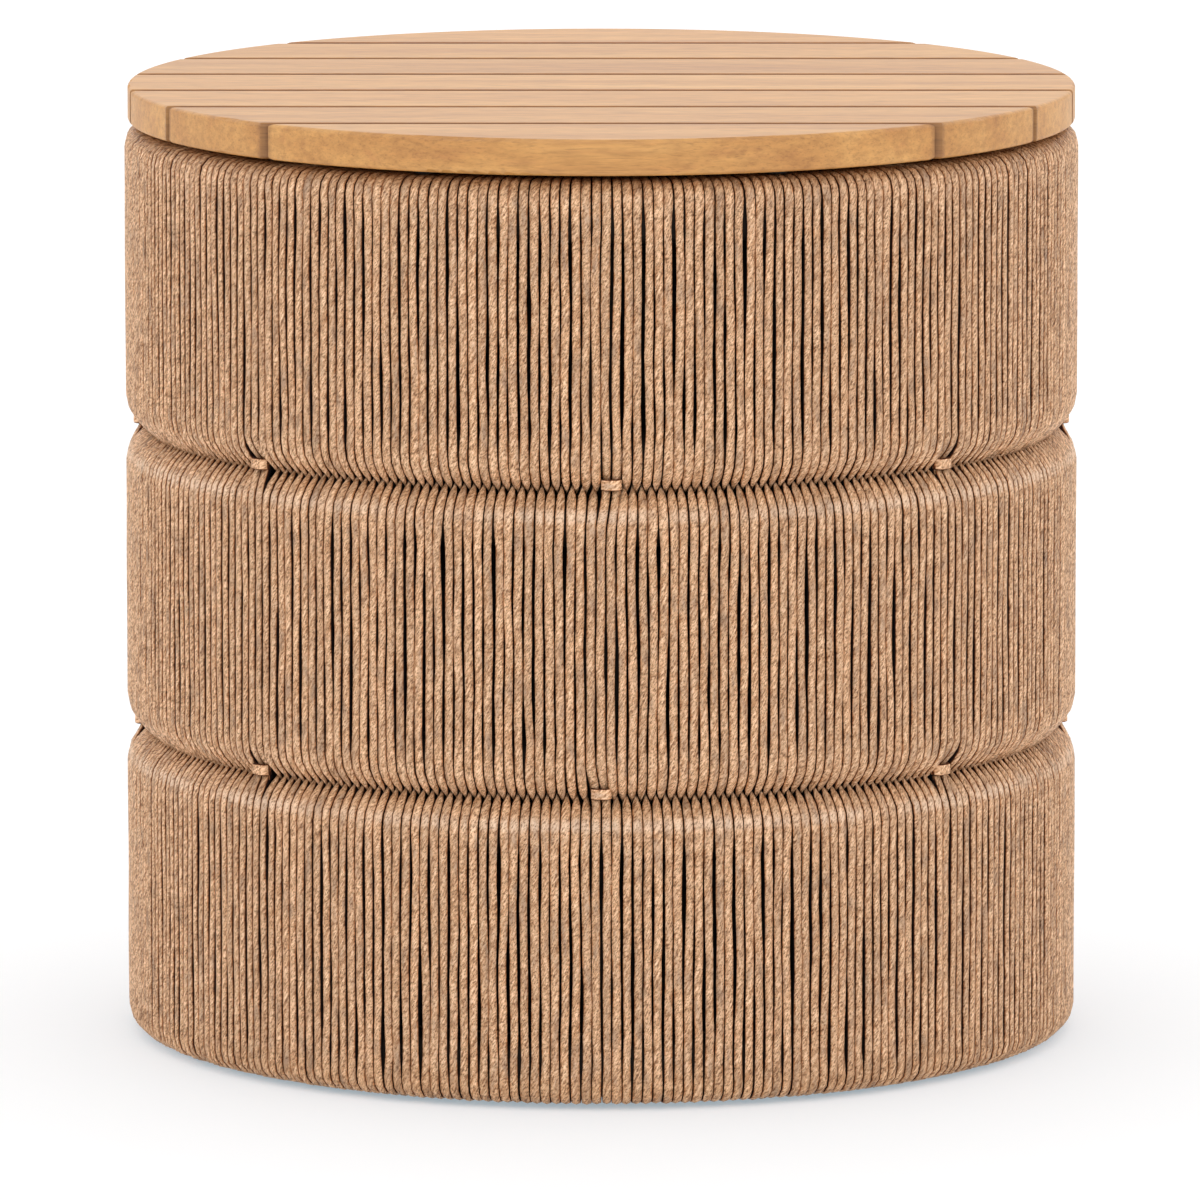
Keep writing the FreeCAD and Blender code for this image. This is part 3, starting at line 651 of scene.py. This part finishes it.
def grained(tree, board, chance):
    """Wood with its figure, dark streaks, pores and fine lines, toned slat by slat."""
    figure = stretched_noise(tree, board, (2.6, 46.0, 46.0), detail=6, roughness=0.62)
    pale, mid, deep = srgb(209, 157, 90), srgb(197, 142, 75), srgb(178, 121, 59)
    wood = ramp(tree, figure, [(0.28, deep), (0.5, mid), (0.72, pale)])
    streak = stretched_noise(tree, board, (1.4, 130.0, 130.0), detail=3, roughness=0.55)
    dark = ramp(tree, streak, [(0.58, (0, 0, 0, 1)), (0.74, (0.5, 0.5, 0.5, 1))])
    wood = blend_colours(tree, "MIX", dark, wood, srgb(172, 112, 60))
    pores = stretched_noise(tree, board, (30.0, 1100.0, 1100.0), detail=3, roughness=0.6)
    fine = ramp(tree, pores, [(0.30, (0.70, 0.66, 0.62, 1)), (0.48, (1, 1, 1, 1))])
    wood = blend_colours(tree, "MULTIPLY", 0.8, wood, fine)
    line = stretched_noise(tree, board, (60.0, 340.0, 340.0), detail=3, roughness=0.6)
    dull, plain, clear = (0.86, 0.83, 0.79, 1), (1, 1, 1, 1), (1.11, 1.11, 1.12, 1)
    lines = ramp(tree, line, [(0.34, dull), (0.50, plain), (0.66, clear)])
    wood = blend_colours(tree, "MULTIPLY", 1.0, wood, lines)
    tone = ramp(tree, chance, [(0.0, (0.91, 0.89, 0.87, 1)), (1.0, (1.0, 1.0, 1.0, 1))])
    return blend_colours(tree, "MULTIPLY", 1.0, wood, tone), pores


def groove_shade(tree, wood, place, sideways):
    """Darken the wood in the grooves between slats, less towards the rim where light gets in."""
    aside = blend_numbers(tree, "ABSOLUTE", sideways, 0.0)
    from_first = blend_numbers(tree, "SUBTRACT", aside, slat_pitch / 2)
    to_groove = blend_numbers(tree, "PINGPONG", from_first, slat_pitch / 2)
    span = blend_numbers(tree, "DIVIDE", to_groove, slat_pitch / 2)
    shaded, half_lit, lit = (0.28, 0.19, 0.12, 1), (0.6, 0.5, 0.42, 1), (1, 1, 1, 1)
    groove = ramp(tree, span, [(0.065, shaded), (0.085, half_lit), (0.11, lit)])
    flat = stretched(tree, place, (1.0, 1.0, 0.0))
    reach = add_node(tree, "VectorMath", {"operation": "LENGTH"}, {0: flat}).outputs["Value"]
    inward = blend_numbers(tree, "SUBTRACT", lid_radius, reach)
    inward = blend_numbers(tree, "DIVIDE", inward, groove_fade)
    buried = ramp(tree, inward, [(0.0, (0.45, 0.45, 0.45, 1)), (1.0, (1, 1, 1, 1))])
    inboard = blend_numbers(tree, "LESS_THAN", aside, slat_pitch * (slat_count - 1) / 2)
    return blend_colours(tree, "MULTIPLY", blend_numbers(tree, "MULTIPLY", inboard, buried), wood, groove)


def slat_finish():
    material, tree, shader = start_finish("oiled_hardwood")
    place = object_place(tree)
    sideways = add_node(tree, "SeparateXYZ", {}, {"Vector": place}).outputs["Y"]
    row = blend_numbers(tree, "ADD", sideways, lid_radius + row_margin)
    row = blend_numbers(tree, "FLOOR", blend_numbers(tree, "DIVIDE", row, slat_pitch), 0.0)
    chance = chance_for(tree, row)
    shift = blend_numbers(tree, "MULTIPLY", chance, grain_shift)
    moved = add_node(tree, "CombineXYZ", {}, {"X": shift, "Y": shift, "Z": shift}).outputs["Vector"]
    board = add_node(tree, "VectorMath", {"operation": "ADD"}, {0: place, 1: moved}).outputs["Vector"]
    wood, pores = grained(tree, board, chance)
    wood = groove_shade(tree, wood, place, sideways)
    tree.links.new(wood, shader.inputs["Base Color"])
    raise_surface(tree, shader, pores, strength=0.12, distance=0.0002)
    shader.inputs["Roughness"].default_value = 0.46
    shader.inputs["Specular IOR Level"].default_value = 0.66
    return material


dress(slat_finish(), *[f"lid_slat_{number}" for number in range(1, slat_count + 1)])


# Lid cleats: three battens of the same wood, screwed up into the slats from below.
# Left bare, so a little darker and duller; thin rubber bumpers carry the lid on the rim.
def cleat_finish():
    material, tree, shader = start_finish("bare_hardwood")
    figure = stretched_noise(tree, object_place(tree), (60.0, 3.0, 60.0), detail=5, roughness=0.6)
    pale, mid, deep = srgb(194, 148, 100), srgb(176, 128, 82), srgb(150, 104, 64)
    wood = ramp(tree, figure, [(0.25, deep), (0.5, mid), (0.78, pale)])
    tree.links.new(wood, shader.inputs["Base Color"])
    raise_surface(tree, shader, figure, strength=0.2, distance=0.0003)
    shader.inputs["Roughness"].default_value = 0.7
    return material


dress(cleat_finish(), "lid_cleat_left", "lid_cleat_centre", "lid_cleat_right")
rubber = moulded_finish("rubber_bumper", srgb(16, 16, 16), srgb(26, 26, 26), roughness=0.75, grain=1200)
dress(rubber, "lid_bumpers")

# Studio: a white light-table floor that runs out of sight, and soft white light from all round.
# A ring of brighter light, low around the table, adds sheen on the shoulders of the tiers, over the sheen
# painted there.
floor_reach = 30
bm = bmesh.new()
bmesh.ops.create_grid(bm, x_segments=1, y_segments=1, size=floor_reach)
studio_floor = keep_mesh("studio_floor", bm)
paper, _, paper_shader = start_finish("white_paper")
paper_shader.inputs["Base Color"].default_value = (0.68, 0.60, 0.55, 1)
paper_shader.inputs["Roughness"].default_value = 0.9
paper_shader.inputs["Emission Color"].default_value = (0.25, 0.343, 0.403, 1)
paper_shader.inputs["Emission Strength"].default_value = 1.0
studio_floor.data.materials.append(paper)

light_strength = 3.0
world = bpy.data.worlds.new("studio_air")
world.use_nodes = True
air = world.node_tree
heading = add_node(air, "TexCoord", {}, {}).outputs["Generated"]
upward = add_node(air, "SeparateXYZ", {}, {"Vector": heading}).outputs["Z"]
dim, lit, overhead = (0.25, 0.25, 0.25, 1), (0.62, 0.62, 0.62, 1), (0.33, 0.33, 0.33, 1)
ring = ramp(air, upward, [(0.18, dim), (0.28, lit), (0.55, lit), (0.66, overhead)])
strength = blend_numbers(air, "MULTIPLY", ring, light_strength)
air.nodes["Background"].inputs["Color"].default_value = (1, 1, 1, 1)
air.links.new(strength, air.nodes["Background"].inputs["Strength"])
bpy.context.scene.world = world

# Camera: a long lens well back from the table, a little above it, as in the photograph.
# It tilts down and uses no shift, so other views stay centred.
camera_tilt = 0.157
camera_data = bpy.data.cameras.new("camera")
camera_data.sensor_width = 36
camera_data.lens = 397.19
camera_data.clip_end = 100
camera = bpy.data.objects.new("camera", camera_data)
bpy.context.scene.collection.objects.link(camera)
camera.location = (-0.0007, -7, 1.3371)
camera.rotation_euler = (math.pi / 2 - camera_tilt, 0, 0)
bpy.context.scene.camera = camera
bpy.context.scene.view_settings.view_transform = "Standard"
